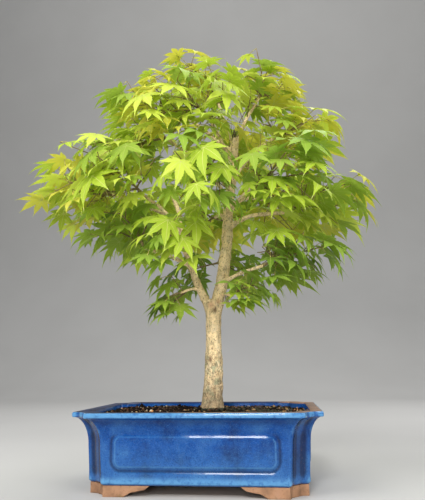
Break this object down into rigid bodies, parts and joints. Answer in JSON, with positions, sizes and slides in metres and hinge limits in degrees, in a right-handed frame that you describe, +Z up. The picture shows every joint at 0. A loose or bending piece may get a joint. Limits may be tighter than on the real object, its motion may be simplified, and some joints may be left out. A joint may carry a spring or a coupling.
{
  "type": "potted japanese maple bonsai",
  "caption": "Small forked maple with layered sprays of seven-lobed leaves, in a rectangular footed glazed pot.",
  "frame": {"origin": "middle of the whole plant's plan, on the surface that the pot's feet stand on", "axes": "+Z up along the trunk, +X to the right along the pot's long side, +Y to the back, seen from the front"},
  "size_m": [0.4248, 0.3472, 0.5104],
  "materials": {
    "glaze": "gloss",
    "clay": "matte",
    "soil": "matte",
    "bark": "matte",
    "leaf_lime": "satin",
    "leaf_gold": "satin",
    "leaf_green": "satin"
  },
  "bodies": {
    "root": {"pot": "glaze", "foot_front_left": "clay", "foot_front_right": "clay", "foot_back_left": "clay", "foot_back_right": "clay", "soil": "soil", "trunk": "bark", "leader": "bark", "left_bough": "bark", "bough_right_low": "bark", "bough_right_mid": "bark", "bough_right_front": "bark", "bough_right_back": "bark", "bough_back": "bark", "bough_back_low": "bark", "bough_front": "bark", "bough_right_upper": "bark", "bough_left_upper": "bark", "bough_upper_front": "bark", "bough_upper_back": "bark", "shoot_top": "bark", "shoot_top_right": "bark", "shoot_top_left": "bark", "bough_left_outer": "bark", "bough_left_front": "bark", "bough_left_back": "bark", "bough_left_low": "bark", "bough_centre_low": "bark", "sprig_low_left": "bark", "sprig_low_right": "bark", "foliage_top": "leaf_lime", "foliage_top_right": "leaf_lime", "foliage_top_left": "leaf_lime", "foliage_left_upper": "leaf_lime", "foliage_upper_front": "leaf_lime", "foliage_upper_back": "leaf_lime", "foliage_right_upper": "leaf_gold", "foliage_left_outer": "leaf_lime", "foliage_left_front": "leaf_lime", "foliage_front": "leaf_gold", "foliage_right_front": "leaf_green", "foliage_right_outer": "leaf_green", "foliage_right_back": "leaf_lime", "foliage_back": "leaf_lime", "foliage_left_back": "leaf_lime", "foliage_left_low": "leaf_green", "foliage_centre_low": "leaf_gold", "foliage_right_low": "leaf_green", "foliage_back_low": "leaf_green", "foliage_low_left": "leaf_green", "foliage_low_right": "leaf_green"}
  },
  "joints": []
}
